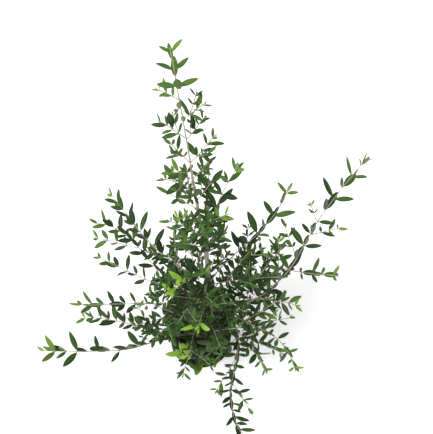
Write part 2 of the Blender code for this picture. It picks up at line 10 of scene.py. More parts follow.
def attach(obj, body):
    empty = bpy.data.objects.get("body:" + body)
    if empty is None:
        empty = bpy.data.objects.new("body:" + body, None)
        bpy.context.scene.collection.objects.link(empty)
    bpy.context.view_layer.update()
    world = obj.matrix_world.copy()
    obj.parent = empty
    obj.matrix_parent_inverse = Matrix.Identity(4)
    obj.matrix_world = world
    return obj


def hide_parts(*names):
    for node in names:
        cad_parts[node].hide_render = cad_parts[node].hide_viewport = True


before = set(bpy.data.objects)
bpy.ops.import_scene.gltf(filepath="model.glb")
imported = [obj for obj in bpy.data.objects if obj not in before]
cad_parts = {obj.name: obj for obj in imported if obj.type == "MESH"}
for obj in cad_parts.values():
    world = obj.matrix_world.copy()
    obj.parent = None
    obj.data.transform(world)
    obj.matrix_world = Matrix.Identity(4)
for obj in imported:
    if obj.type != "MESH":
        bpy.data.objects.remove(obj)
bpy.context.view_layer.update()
up = Vector((0, 0, 1))
light = Vector((0, -0.6, 0.8))  # the way the leaves face

# Metres and degrees, unless a note says otherwise. The habit of the tree is the CAD's own, so
# every twig and leaf grows where its solid stands.
pot = {
    "rimRadius": 0.086,
    "footRadius": 0.077,
    "height": 0.140,
    "wall": 0.0022,
    "floor": 0.003,
    "lipHeight": 0.012,
    "lipReach": 0.003,
    "cadSides": 40,
    "room": 0.003,
}
soil = {"top": 0.124, "swell": 0.003, "plantingDepth": 0.035}
trunk = {
    "course": (
        ((0.000, 0.000, soil["top"] - soil["plantingDepth"]), 0.0068),
        ((0.000, 0.000, soil["top"]), 0.0062),
        ((0.010, 0.000, 0.210), 0.0052),
        ((0.022, 0.000, 0.300), 0.0045),
        ((0.013, 0.000, 0.450), 0.0036),
        ((-0.003, 0.000, 0.630), 0.0026),
        ((-0.009, 0.000, 0.710), 0.0015),
        ((-0.022, 0.000, 0.855), 0.0011),
    ),
    "cadSides": 8,
    "steps": 4,
}
twig = {
    "gapToTrunk": 0.0003,
    "base": 0.0008,
    "growth": 0.0034,  # of base radius for each metre of length
    "tip": 0.0005,
    "turns": (0, 4, -4, 8, -8, 12, -12, 18, -18, 26, -26),  # tried until it is clear of the rest
    "roll": 0.5,  # radians either way
    "wander": (5, 4),
    "sideStart": 0.004,
    "sideGirth": 0.9,  # at most, of what it branches from
    "nodeHeight": 0.0022,
    "join": 0.15,
    "bud": 0.004,
    "bluntness": 0.1,
}
leafHabit = {
    "width": 0.33,
    "thickness": 0.0012,
    "belly": 0.45,
    "droop": 0.04,
    "lift": 0.50,
    "spread": (72, 48),  # from the twig, at its foot and at its tip
    "stray": 9,
    "forward": 0.3,
    "sideways": 0.35,
    "roll": 18,
    "youth": (0.7, 0.2),  # size at the tip, and what each pair further back gains
    "sizes": (0.7, 1.14),
    # lift and roll, tried until it is clear of the rest
    "turns": ((0, 0), (14, 0), (-14, 0), (0, 25), (0, -25), (22, 30), (22, -30), (-22, 40), (34, -40)),
}
leafFaces = (  # of a solid leaf: the sides and the point, on the four corners of its foot
    (0, 1, 4), (1, 5, 4), (1, 2, 5), (2, 6, 5), (2, 3, 6),
    (3, 4, 6), (3, 0, 4), (4, 5, 7), (5, 6, 7), (6, 4, 7),
)
plainHabit = {"swing": 0, "sway": 0, "bend": 0, "leaf": 0.040, "gap": 0.023, "bare": 0.12, "lost": 0.1}


def shoot(name, at, heading, rise, length, on="trunk", **habit):
    # at is a height on the trunk, or a share of the shoot it branches from
    course = {"name": name, "on": on, "at": at, "heading": heading, "rise": rise, "length": length}
    return {**plainHabit, **course, **habit}


leaderShoot = [
    shoot("leader", 0.855, 186, 86, 0.088, leaf=0.042, bare=0, gap=0.018, lost=0),
]
longShoots = [
    shoot("shoot_left_high", 0.300, 179, 24, 0.306, swing=-49, sway=-21, bend=-20, leaf=0.045),
    shoot("shoot_left_middle", 0.225, 176, 12, 0.350, swing=-11, sway=-45, bend=-20, leaf=0.043),
    shoot("shoot_left_under", 0.200, 165, 14, 0.260, swing=-6, leaf=0.036),
    shoot(
        "shoot_left_level", 0.155, 160, 4, 0.284,
        swing=24, sway=12, bend=4, leaf=0.043, gap=0.025, bare=0.3,
    ),
    shoot("shoot_left_low", 0.165, 243, 0, 0.322, swing=-64, sway=-50, bend=-20),
    shoot(
        "shoot_left_longest", 0.145, 241, 20, 0.400,
        swing=-60, sway=-11, bend=-7, leaf=0.045, bare=0.25, lost=0.25,
    ),
    shoot(
        "shoot_back_right", 0.440, 59, 68, 0.192,
        swing=-36, sway=-13, bend=-4, leaf=0.048, gap=0.030,
    ),
    shoot(
        "shoot_right_middle", 0.260, 50, 38, 0.302,
        swing=2, sway=-38, bend=21, leaf=0.050, gap=0.029, bare=0.3,
    ),
    shoot(
        "shoot_right_tall", 0.175, -39, 28, 0.542,
        swing=65, sway=50, bend=23, leaf=0.052, gap=0.032, bare=0.2,
    ),
    shoot(
        "shoot_front_right", 0.160, -26, 18, 0.288,
        swing=-56, sway=20, bend=-16, leaf=0.036, gap=0.020,
    ),
    shoot(
        "shoot_front", 0.150, 0, 17, 0.399,
        swing=-36, sway=-84, bend=-33, leaf=0.034, gap=0.015, lost=0,
    ),
    shoot(
        "shoot_over_rim", 0.152, -40, 6, 0.200,
        swing=-180, sway=20, leaf=0.052, gap=0.026, lost=0,
    ),
]
sideTwigs = [
    shoot(f"{parent}_{label}", share, heading, rise, length, on="shoot_" + parent, leaf=leaf, gap=gap)
    for parent, label, share, heading, rise, length, leaf, gap in (
        ("left_high", "riser", 0.22, 105, 62, 0.085, 0.034, 0.023),
        ("left_middle", "fork", 0.62, 172, 12, 0.095, 0.041, 0.023),
        ("left_low", "riser", 0.40, 130, 45, 0.055, 0.032, 0.023),
        ("right_middle", "low", 0.30, -8, 25, 0.070, 0.037, 0.023),
        ("right_tall", "inner", 0.22, 85, 55, 0.110, 0.037, 0.023),
        ("right_tall", "outer", 0.30, -28, 24, 0.090, 0.038, 0.018),
        ("right_tall", "back", 0.39, 95, 55, 0.085, 0.039, 0.023),
        ("right_tall", "side", 0.45, -22, 22, 0.100, 0.039, 0.023),
        ("right_tall", "upper", 0.62, -8, 30, 0.060, 0.030, 0.023),
        ("right_tall", "low", 0.20, -20, 16, 0.090, 0.036, 0.023),
        ("right_tall", "mid", 0.52, 115, 40, 0.070, 0.033, 0.023),
        ("right_tall", "spur", 0.70, 118, 45, 0.035, 0.026, 0.023),
        ("front_right", "fork", 0.35, -68, -4, 0.130, 0.034, 0.023),
        ("front_right", "side", 0.50, 8, 10, 0.075, 0.034, 0.023),
        ("front", "fork", 0.48, -124, -14, 0.075, 0.036, 0.017),
        ("front", "side", 0.30, -30, 4, 0.110, 0.036, 0.020),
        ("front", "inner", 0.62, -52, -26, 0.060, 0.034, 0.018),
        ("front", "rim", 0.34, -135, -12, 0.065, 0.036, 0.016),
    )
]
trunkTwigs = [
    shoot("twig_left_top", 0.845, 175, 30, 0.034, leaf=0.026, gap=0.011, bare=0),
    shoot("twig_right_top", 0.800, 5, 45, 0.044, leaf=0.030, gap=0.013),
    shoot("twig_left_olive", 0.755, 172, 38, 0.052, leaf=0.030, gap=0.014),
    shoot("twig_right_slim", 0.750, 28, 50, 0.046, leaf=0.026, gap=0.013),
    shoot("twig_right_upper", 0.690, 26, 45, 0.060, leaf=0.033, gap=0.016),
    shoot("twig_left_upper", 0.690, 165, 52, 0.048, leaf=0.029, gap=0.014),
    shoot("twig_left_bright", 0.665, 205, 22, 0.038, leaf=0.033, gap=0.014),
    shoot("twig_right_short", 0.645, 20, 50, 0.042, leaf=0.032, gap=0.014),
    shoot("twig_left_level", 0.635, 190, 18, 0.051, leaf=0.037, gap=0.015),
    shoot("twig_left_back", 0.595, 160, 50, 0.053, leaf=0.035, gap=0.016),
    shoot("twig_right_dark", 0.580, 30, 52, 0.044, leaf=0.046, gap=0.016),
    shoot("twig_front_upper", 0.610, 262, 30, 0.040, leaf=0.034, gap=0.015),
    shoot("twig_left_long", 0.555, 172, 36, 0.062, leaf=0.040, gap=0.018),
    shoot("twig_left_tender", 0.520, 218, 45, 0.066, leaf=0.030, gap=0.015),
    shoot("twig_right_bright", 0.500, -20, 50, 0.070, leaf=0.035, gap=0.016),
    shoot("twig_left_mid", 0.475, 192, 44, 0.080, leaf=0.034, gap=0.016),
    shoot("twig_front_mid", 0.470, 275, 55, 0.080, leaf=0.032, gap=0.016),
    shoot("twig_right_mid", 0.430, -42, 58, 0.090, leaf=0.034, gap=0.016),
    shoot("twig_left_lower", 0.425, 224, 50, 0.085, leaf=0.034, gap=0.016),
    shoot("twig_front_bright", 0.345, 231, 23, 0.125, leaf=0.042, gap=0.020, bare=0.5),
    shoot("twig_upright", 0.330, 88, 66, 0.230, leaf=0.035, gap=0.018),
    shoot(
        "twig_front_pair", 0.300, 265, -7, 0.116,
        swing=-13, bend=13, leaf=0.070, gap=0.029, bare=0.8, lost=0,
    ),
]
frontTwigs = [
    shoot("front_bright_fork", 0.2, 285, 55, 0.060, on="twig_front_bright", leaf=0.032, gap=0.015),
]
spurHabit = {"turn": 60, "at": 0.3, "length": 0.028, "leaf": 0.85, "gap": 0.013}


def spurs():
    # a short leafy twig near the foot of most twigs, on alternate sides
    leafy = [spec for spec in trunkTwigs if spec["bare"] < 0.5 and spec["length"] > 0.04]
    grown = []
    for k, spec in enumerate(leafy):
        name = spec["name"] + "_spur"
        aim = spec["heading"] + spurHabit["turn"] * (-1) ** k
        course = (spurHabit["at"], aim, spec["rise"], spurHabit["length"])
        habit = {"leaf": spurHabit["leaf"] * spec["leaf"], "gap": spurHabit["gap"], "lost": 0}
        grown.append(shoot(name, *course, on=spec["name"], **habit))
    return grown


crownFans = (  # name, count, height of the lowest, climb, heading of the first, step, rise, length, gap
    ("front", 6, 0.156, 0.010, 202, 28, 20, 0.160, 0.016),
    ("left", 4, 0.215, 0.035, 170, 37, 26, 0.115, 0.018),
    ("right", 4, 0.190, 0.028, -36, 22, 26, 0.170, 0.016),
    ("back", 3, 0.215, 0.045, 70, 42, 40, 0.135, 0.020),
)
crownHabit = {"bend": -16, "leaf": 0.035, "rise": 12, "growth": 0.012}
crownForks = {
    "places": ((1, 0.25), (-1, 0.45), (1, 0.7)),  # side, 1 to the left, and place along the shoot
    "turn": 50,
    "rise": 8,
    "length": 0.45,
    "leaf": 0.031,
    "gap": 0.017,
}


def crownShoots():
    # the short shoots that crowd the foot of the trunk
    grown = []
    for fan, count, lowest, climb, first, step, leastRise, leastLength, gap in crownFans:
        for k in range(count):
            name = f"crown_{fan}_{k + 1}"
            heading = first + step * k
            rise = leastRise + crownHabit["rise"] * (k % 2)
            length = leastLength + crownHabit["growth"] * (k % 3)
            height = lowest + climb * (3 * k % count)
            habit = {"bend": crownHabit["bend"], "leaf": crownHabit["leaf"], "gap": gap}
            grown.append(shoot(name, height, heading, rise, length, **habit))
            habit = {"leaf": crownForks["leaf"], "gap": crownForks["gap"], "on": name}
            for side, share in crownForks["places"]:
                aim = (heading + crownForks["turn"] * side, rise + crownForks["rise"])
                reach = crownForks["length"] * length
                grown.append(shoot(f"{name}_fork_{share}", share, *aim, reach, **habit))
    return grown


shoots = leaderShoot + longShoots + sideTwigs + trunkTwigs + frontTwigs + spurs() + crownShoots()

# Olives: what each hangs from, its height on the trunk or share of that shoot, and the way it hangs
olives = [
    {"name": name, "on": parent, "at": at, "heading": heading, "rise": rise, "radius": radius}
    for name, parent, at, heading, rise, radius in (
        ("olive_top", "trunk", 0.843, 268, 0, 0.0048),
        ("olive_upper", "trunk", 0.812, 285, -20, 0.0042),
        ("olive_small", "trunk", 0.824, 196, -15, 0.0028),
        ("olive_left", "shoot_left_level", 0.45, 262, -30, 0.0042),
        ("olive_right", "shoot_right_middle", 0.55, 275, -30, 0.0042),
    )
]
oliveFruit = {
    "stretch": 1.2,
    "cadRings": 6,
    "cadSides": 8,
    "stalkRadius": 0.0006,
    "stalkLength": 0.004,
}


def mix(a, b, share):
    return a + (b - a) * share


def direction(heading, rise):
    turn = Matrix.Rotation(math.radians(heading), 3, "Z") @ Matrix.Rotation(math.radians(-rise), 3, "Y")
    return turn @ Vector((1, 0, 0))


def smoothCurve(values, share):
    place = share * (len(values) - 1)
    i = min(int(place), len(values) - 2)
    t = place - i
    a, b, c, d = (values[min(max(i + k, 0), len(values) - 1)] for k in (-1, 0, 1, 2))
    quadratic = 2 * a - 5 * b + 4 * c - d
    cubic = 3 * b - a - 3 * c + d
    return 0.5 * (2 * b + (c - a) * t + quadratic * t**2 + cubic * t**3)


def trunkLine(steps):
    points = [Vector(point) for point, _ in trunk["course"]]
    radii = [radius for _, radius in trunk["course"]]
    steps = steps * (len(points) - 1)
    shares = [i / steps for i in range(steps + 1)]
    return [(smoothCurve(points, share), smoothCurve(radii, share)) for share in shares]


def placeOnTrunk(line, height):
    # the trunk's middle, radius and direction at a height
    i = next((i for i in range(1, len(line)) if height < line[i][0].z), len(line) - 1)
    (low, lowRadius), (high, highRadius) = line[i - 1 : i + 1]
    share = min(1, (height - low.z) / (high.z - low.z))
    return mix(low, high, share), mix(lowRadius, highRadius, share), (high - low).normalized()


def startOnTrunk(spec, turn, line):
    foot, thickness, along = placeOnTrunk(line, spec["at"])
    aim = direction(spec["heading"] + turn, spec["rise"])
    if spec in leaderShoot:
        return foot + along * 2 * twig["gapToTrunk"], thickness
    out = (aim - along * aim.dot(along)).normalized()
    radius = twig["base"] + twig["growth"] * spec["length"]
    tilted = radius * math.sqrt(1 - aim.dot(out) ** 2)
    return foot + out * (thickness + tilted + 2 * twig["gapToTrunk"]), radius


def sideFace(stem, spec):
    node = max(1, round(spec["at"] * (len(stem["line"]) - 1)))
    aim = direction(spec["heading"], spec["rise"])
    faces = stem["sides"][node][1]
    return node, max(range(4), key=lambda k: faces[k].dot(aim))


def startOnShoot(spec, turn, stem):
    node, side = sideFace(stem, spec)
    face = leafFace(stem, node, side)
    aim = direction(spec["heading"] + turn, spec["rise"])
    most = twig["sideGirth"] * stem["line"][node][1]
    radius = min(twig["base"] + twig["growth"] * spec["length"], most)
    out = (aim + stem["sides"][node][1][side]).normalized()
    return middle(face) + out * twig["sideStart"], radius


def stemLine(spec, turn, start, baseRadius):
    rng = random.Random(spec["name"])
    count = max(2, round(spec["length"] / spec["gap"]))
    point = start
    line = [(point, baseRadius)]
    for i in range(count):
        share = (i + 0.5) / count
        swerve, nod = (rng.uniform(-most, most) for most in twig["wander"])
        heading = spec["heading"] + turn + spec["swing"] * share + swerve
        heading += spec["sway"] * math.sin(math.pi * share)
        rise = spec["rise"] + spec["bend"] * share + nod
        point = point + direction(heading, rise) * (spec["length"] / count)
        line.append((point, mix(baseRadius, twig["tip"], (i + 1) / count)))
    return line


def axisAt(line, i):
    # the way a line of points and radii runs at one of them
    return (line[min(i + 1, len(line) - 1)][0] - line[max(i - 1, 0)][0]).normalized()


def stemRings(line, roll):
    rings = []
    sides = []
    for i, (point, radius) in enumerate(line):
        axis = axisAt(line, i)
        level = axis.cross(up).normalized()
        faces = [Matrix.Rotation(roll + k * math.pi / 2, 3, axis) @ level for k in range(4)]
        corners = [(faces[k] + faces[k - 1]).normalized() * radius for k in range(4)]
        for height in (0,) if i == 0 else (-0.5, 0.5):
            rings.append([point + axis * height * twig["nodeHeight"] + corner for corner in corners])
        sides.append((axis, faces))
    return rings, sides


def roundAngles(count):
    return [2 * math.pi * k / count for k in range(count)]


def levelRing(radius, height, count):
    reach = radius / math.cos(math.pi / count)
    return [Vector((reach * math.cos(a), reach * math.sin(a), height)) for a in roundAngles(count)]


def roundRings(line, count):
    return [[point + corner for corner in levelRing(radius, 0, count)] for point, radius in line]


def sleeveFaces(rows, count):
    # between rings of count points each, one row after another
    around = [(k, (k + 1) % count) for k in range(count)]
    starts = range(0, (rows - 1) * count, count)
    return [(i + k, i + j, i + count + j, i + count + k) for i in starts for k, j in around]


def solidOf(rings, name):
    points = [corner for ring in rings for corner in ring]
    return name, BVHTree.FromPolygons(points, sleeveFaces(len(rings), len(rings[0]))), boxOf(points)


def boxOf(points):
    return tuple([furthest(p[a] for p in points) for a in range(3)] for furthest in (min, max))


def middle(points):
    return sum(points, Vector()) / len(points)


def meets(solid, others):
    _, tree, (low, high) = solid
    return any(
        all(low[k] <= otherHigh[k] and otherLow[k] <= high[k] for k in range(3)) and tree.overlap(other)
        for _, other, (otherLow, otherHigh) in others
    )


def overPotOrFloor(points):
    reach = pot["rimRadius"] + pot["room"]
    lowest = pot["height"] + pot["room"]
    return all(p.z > pot["room"] and (p.z > lowest or math.hypot(p.x, p.y) > reach) for p in points)


def growStems(line, solids):
    stems = {}
    for spec in shoots:
        roll = random.Random(spec["name"] + " roll").uniform(-twig["roll"], twig["roll"])
        parent = stems.get(spec["on"])
        for turn in twig["turns"]:
            foot = startOnShoot(spec, turn, parent) if parent else startOnTrunk(spec, turn, line)
            course = stemLine(spec, turn, *foot)
            rings, sides = stemRings(course, roll)
            bud = course[-1][0] + sides[-1][0] * twig["bud"]
            tip = [mix(bud, corner, twig["bluntness"]) for corner in rings[-1]]
            clear = overPotOrFloor(sum(rings, tip))
            if clear and not meets(solidOf([*rings, tip], spec["name"]), solids):
                break
        else:
            continue
        stem = {"spec": spec, "line": course, "rings": rings, "sides": sides, "bud": bud, "grown": {}}
        foot = []
        if parent:
            place = sideFace(parent, spec)
            parent["grown"][place] = stem
            face = leafFace(parent, *place)
            shift = leastTwist(rings[0], face)
            foot = [[mix(face[(k + shift) % 4], rings[0][k], twig["join"]) for k in range(4)]]
        stems[spec["name"]] = stem
        solids.append(solidOf([*foot, *rings, tip], spec["name"]))
    return stems


def leafPoints(leaf):
    length = leaf["length"]
    belly = leaf["base"] + leaf["aim"] * length * leafHabit["belly"]
    wide = leaf["across"] * length * leafHabit["width"] / 2
    tip = leaf["base"] + leaf["aim"] * length - leaf["normal"] * length * leafHabit["droop"]
    return [belly + wide, belly + leaf["normal"] * leafHabit["thickness"], belly - wide, tip]


def leastTwist(base, ring):
    def spokes(corners):
        reach = max((corner - middle(corners)).length for corner in corners)
        return [(corner - middle(corners)) / reach for corner in corners]

    low, high = spokes(base), spokes(ring)
    return min(range(4), key=lambda turn: sum((low[k] - high[(k + turn) % 4]).length for k in range(4)))


def leafSolid(face, leaf, label):
    right, left, over = leaf["across"], -leaf["across"], leaf["normal"]
    turn = leastTwist([right - over, right + over, left + over, left - over], face)
    points = [face[(k + turn) % 4] for k in range(4)] + leafPoints(leaf)
    return label, BVHTree.FromPolygons(points, [(0, 1, 2, 3), *leafFaces]), boxOf(points)


def oliveOutline(olive):
    half = olive["radius"] * oliveFruit["stretch"]
    rings = oliveFruit["cadRings"]
    angles = [math.pi * (k + 1) / (rings + 1) for k in range(rings)]
    stalk, reach = oliveFruit["stalkRadius"], oliveFruit["stalkLength"]
    body = [(olive["radius"] * math.sin(a), reach + half - half * math.cos(a)) for a in angles]
    return [(0, 0), (stalk, 0), (stalk, reach), *body, (0, reach + 2 * half)]


def hangOlives(line, stems, solids):
    hung = []
    for olive in olives:
        hang = direction(olive["heading"], olive["rise"])
        if olive["on"] == "trunk":
            foot, thickness, along = placeOnTrunk(line, olive["at"])
            out = (hang - along * hang.dot(along)).normalized()
            foot = foot + out * thickness
        else:
            stem = stems[olive["on"]]
            node, side = sideFace(stem, olive)
            foot = middle(leafFace(stem, node, side))
            out = stem["sides"][node][1][side]
        foot = foot + out * (oliveFruit["stalkRadius"] + 2 * twig["gapToTrunk"])
        turn = (hang + out).to_track_quat("Z", "Y").to_matrix()
        outline = [levelRing(*row, oliveFruit["cadSides"]) for row in oliveOutline(olive)]
        rings = [[foot + turn @ corner for corner in ring] for ring in outline]
        solids.append(solidOf(rings, olive["name"]))
        hung.append((olive, Matrix.Translation(foot) @ turn.to_4x4()))
    return hung


def leafAt(stem, node, side, rng):
    last = len(stem["line"]) - 1
    axis, faces = stem["sides"][node]
    stray = rng.uniform(-leafHabit["stray"], leafHabit["stray"])
    spread = math.radians(mix(*leafHabit["spread"], node / last) + stray)
    toLight = (up - axis * axis.z) * leafHabit["lift"]
    aim = axis * math.cos(spread) + faces[side] * math.sin(spread) + toLight
    least, gain = leafHabit["youth"]
    youth = min(1, least + gain * (last - node))
    sideways = rng.uniform(-leafHabit["sideways"], leafHabit["sideways"])
    return {
        "base": middle(leafFace(stem, node, side)),
        "aim": aim.normalized(),
        "facing": light + axis * leafHabit["forward"] + faces[side] * sideways,
        "roll": rng.gauss(0, leafHabit["roll"]),
        "length": stem["spec"]["leaf"] * youth * rng.uniform(*leafHabit["sizes"]),
        "fromTip": last - node,
    }


def turned(leaf, lift, roll):
    across = leaf["aim"].cross(leaf["facing"]).normalized()
    aim = Matrix.Rotation(math.radians(lift), 3, across) @ leaf["aim"]
    normal = (leaf["facing"] - aim * leaf["facing"].dot(aim)).normalized()
    normal = Matrix.Rotation(math.radians(leaf["roll"] + roll), 3, aim) @ normal
    return {**leaf, "aim": aim, "normal": normal, "across": normal.cross(aim)}


def leafFace(stem, node, side):
    low, high = stem["rings"][2 * node - 1], stem["rings"][2 * node]
    return [low[side], low[(side + 1) % 4], high[(side + 1) % 4], high[side]]


def settleLeaf(stem, place, leaf, label, near):
    # turns a leaf until it is clear of what is near it, and drops it if it never is
    face = leafFace(stem, *place)
    for lift, roll in leafHabit["turns"]:
        turn = turned(leaf, lift, roll)
        solid = leafSolid(face, turn, label)
        if overPotOrFloor(leafPoints(turn)) and not meets(solid, near):
            stem["grown"][place] = turn
            return [solid]
    return []


def growLeaves(stems, solids):
    for name, stem in stems.items():
        spec = stem["spec"]
        rng = random.Random(name + " leaves")
        others = [solid for solid in solids if solid[0] != name]
        last = len(stem["line"]) - 1
        for node in range(1, last + 1):
            for side in (node % 2, node % 2 + 2):
                leaf = leafAt(stem, node, side, rng)
                falls = rng.random() < spec["lost"] and node < last - 1
                if falls or node / last <= spec["bare"] or (node, side) in stem["grown"]:
                    continue
                settled = settleLeaf(stem, (node, side), leaf, f"{name} {node}", others)
                solids += settled
                others += settled


# share of the bare faces between the pairs that grow a leaf too, by name or by its first word
fullness = {
    "crown": 0.65,
    "shoot": 0.30,
    "front": 0.45,
    "right": 0.40,
    "left": 0.25,
    "twig": 0.40,
    "shoot_front": 0.60,
}
fullnessSize = (0.60, 0.92)  # of such a leaf, as a share of its neighbours


def fillIn(stems, solids):
    # more leaves on the twig faces between the pairs, thickest in the crown
    for name, stem in stems.items():
        rng = random.Random(name + " fill")
        share = fullness.get(name) or fullness.get(name.split("_")[0], 0)
        others = [solid for solid in solids if solid[0] != name]
        last = len(stem["line"]) - 1
        for node in range(1, last):
            for side in (1 - node % 2, 3 - node % 2):
                leaf = leafAt(stem, node, side, rng)
                leaf["length"] *= rng.uniform(*fullnessSize)
                grows = rng.random() < share and node / last > stem["spec"]["bare"]
                if not grows or (node, side) in stem["grown"]:
                    continue
                label = f"{name} {node}"
                near = [solid for solid in others if solid[0] != label]
                settled = settleLeaf(stem, (node, side), leaf, label, near)
                solids += settled
                others += settled


# Materials


class Value:
    # a number that varies over a surface, with Python's own operators
    def __init__(self, maker, socket):
        self.maker = maker
        self.socket = socket

    def math(self, operation, first, second):
        node = self.maker.add("ShaderNodeMath", {"operation": operation}, {0: first, 1: second})
        return Value(self.maker, node.outputs[0])

    def __add__(self, other):
        return self.math("ADD", self, other)

    __radd__ = __add__

    def __mul__(self, other):
        return self.math("MULTIPLY", self, other)

    __rmul__ = __mul__

    def __sub__(self, other):
        return self.math("SUBTRACT", self, other)

    def __rsub__(self, other):
        return self.math("SUBTRACT", other, self)

    def ramp(self, low, high):
        # 0 below low, 1 above high, smooth between
        settings = {"interpolation_type": "SMOOTHSTEP", "clamp": True}
        sockets = {0: self, 1: low, 2: high, 3: 0.0, 4: 1.0}
        node = self.maker.add("ShaderNodeMapRange", settings, sockets)
        return Value(self.maker, node.outputs[0])


class Maker:
    # a material, or the world, built node by node round its shader
    def __init__(self, name, family="materials", shader="Principled BSDF", **fixed):
        self.made = getattr(bpy.data, family).new(name)
        self.made.use_nodes = True
        self.tree = self.made.node_tree
        self.shader = self.tree.nodes[shader]
        for label, value in fixed.items():
            self.shader.inputs[label.replace("_", " ")].default_value = value

    def add(self, kind, settings=None, sockets=None):
        node = self.tree.nodes.new(kind)
        for label, value in (settings or {}).items():
            setattr(node, label, value)
        for place, value in (sockets or {}).items():
            self.feed(node.inputs[place], value)
        return node

    def feed(self, socket, value):
        if isinstance(value, Value):
            value = value.socket
        if isinstance(value, bpy.types.NodeSocket):
            self.tree.links.new(value, socket)
        else:
            socket.default_value = value

    def mix(self, factor, first, second, blend="MIX"):
        settings = {"data_type": "RGBA", "blend_type": blend}
        node = self.add("ShaderNodeMix", settings, {0: factor, 6: first, 7: second})
        return node.outputs[2]

    def place(self, stretch=None):
        # where a point of the surface is, with the axes stretched for a grain that runs one way
        place = self.add("ShaderNodeTexCoord").outputs["Object"]
        if stretch:
            place = self.add("ShaderNodeMapping", None, {"Vector": place, "Scale": stretch}).outputs[0]
        return place

    def noise(self, scale, detail=3.0, place=None):
        sockets = {"Vector": place or self.place(), "Scale": scale, "Detail": detail}
        return Value(self, self.add("ShaderNodeTexNoise", None, sockets).outputs[0])

    def paint(self):
        # the four numbers painted on each corner of the mesh
        painted = self.add("ShaderNodeAttribute", {"attribute_name": "paint"})
        split = self.add("ShaderNodeSeparateColor", None, {0: painted.outputs["Color"]})
        return [Value(self, socket) for socket in [*split.outputs, painted.outputs["Alpha"]]]

    def finish(self, colour, roughness, bump=None, depth=0.0002):
        self.feed(self.shader.inputs["Base Color"], colour)
        self.feed(self.shader.inputs["Roughness"], roughness)
        if bump is not None:
            node = self.add("ShaderNodeBump", None, {"Distance": depth, "Height": bump})
            self.feed(self.shader.inputs["Normal"], node.outputs[0])
        return self.made


def leafMaterial():
    colours = {
        "mature": (0.010, 0.030, 0.007, 1),
        "grown": (0.050, 0.120, 0.018, 1),
        "fresh": (0.215, 0.370, 0.028, 1),
        "underside": (0.165, 0.220, 0.115, 1),
        "freshUnderside": (0.330, 0.450, 0.140, 1),
        "midrib": (0.180, 0.260, 0.085, 1),
    }
    maker = Maker("oliveLeaf", IOR=1.45, Specular_IOR_Level=0.2)
    fresh, tint, under, fromRib = maker.paint()  # how new, random, 1 beneath, 0 on the midrib
    blotch = maker.noise(240.0)
    young = (fresh + (blotch - 0.5) * 0.18).ramp(0.38, 1.0)
    grown = (fresh + tint * 0.42 - 0.14).ramp(0.0, 0.60)
    upper = maker.mix(grown, colours["mature"], colours["grown"])
    upper = maker.mix(young, upper, colours["fresh"])
    rib = 1 - fromRib.ramp(0.0, 0.14)
    upper = maker.mix(rib * 0.38, upper, colours["midrib"])
    lower = maker.mix(young, colours["underside"], colours["freshUnderside"])
    colour = maker.mix(under, upper, lower)
    roughness = 0.38 + blotch * 0.16 + under * 0.25
    veins = maker.noise(900.0, 2.0)
    return maker.finish(colour, roughness, veins, 0.00012)


def stemMaterial():
    colours = {
        "bark": (0.350, 0.305, 0.220, 1),
        "shade": (0.180, 0.150, 0.105, 1),
        "green": (0.330, 0.400, 0.150, 1),
    }
    maker = Maker("oliveStem")
    young, tint, _, _ = maker.paint()
    fleck = maker.noise(700.0)
    bark = maker.mix((fleck + tint * 0.2).ramp(0.45, 0.75) * 0.7, colours["bark"], colours["shade"])
    colour = maker.mix(young.ramp(0.35, 1.0), bark, colours["green"])
    return maker.finish(colour, 0.72 - young * 0.2, fleck, 0.0003)


def barkMaterial():
    colours = {
        "pale": (0.340, 0.310, 0.255, 1),
        "grey": (0.185, 0.165, 0.135, 1),
        "lenticel": (0.460, 0.425, 0.350, 1),
    }
    maker = Maker("oliveBark")
    high, _, _, _ = maker.paint()
    streak = maker.noise(260.0, 4.0, maker.place((1, 1, 0.25)))
    spot = maker.noise(620.0, 1.0).ramp(0.66, 0.72)
    older = (streak * 0.9 + (1 - high) * 0.35).ramp(0.42, 0.95)
    colour = maker.mix(older, colours["pale"], colours["grey"])
    colour = maker.mix(spot * 0.5, colour, colours["lenticel"])
    return maker.finish(colour, 0.8 - spot * 0.1, streak + spot * 0.4, 0.0006)


def potMaterial():
    colours = {
        "plastic": (0.0025, 0.0025, 0.003, 1),
        "scuffed": (0.0045, 0.0045, 0.0045, 1),
        "dust": (0.010, 0.0085, 0.007, 1),
    }
    maker = Maker("potPlastic", Specular_IOR_Level=0.006)
    high, _, inside, _ = maker.paint()
    scuff = maker.noise(45.0, 5.0, maker.place((1, 1, 6))).ramp(0.48, 0.75)
    grain = maker.noise(1400.0, 2.0)
    dust = maker.noise(30.0, 4.0).ramp(0.50, 0.80) * (1 - high).ramp(0.55, 1.0)
    colour = maker.mix(scuff * 0.5, colours["plastic"], colours["scuffed"])
    colour = maker.mix(dust * 0.6 + inside * 0.25 * scuff, colour, colours["dust"])
    return maker.finish(colour, 0.38 + scuff * 0.18 + dust * 0.25, grain + scuff * 0.3, 0.00012)


def soilMaterial():
    colours = {
        "peat": (0.022, 0.014, 0.009, 1),
        "fibre": (0.075, 0.045, 0.025, 1),
        "bark": (0.150, 0.085, 0.045, 1),
        "grit": (0.260, 0.225, 0.180, 1),
    }
    maker = Maker("pottingSoil")
    kind, tint, _, _ = maker.paint()
    clod = maker.noise(170.0, 6.0)
    fine = maker.noise(900.0, 4.0)
    colour = maker.mix(clod.ramp(0.40, 0.70), colours["peat"], colours["fibre"])
    colour = maker.mix(kind.ramp(0.3, 0.6), colour, colours["bark"])
    colour = maker.mix(kind.ramp(0.8, 0.95), colour, colours["grit"])
    colour = maker.mix(tint * 0.45, colour, colours["peat"])
    return maker.finish(colour, 0.95 - kind * 0.1, fine + clod * 0.5, 0.0012)


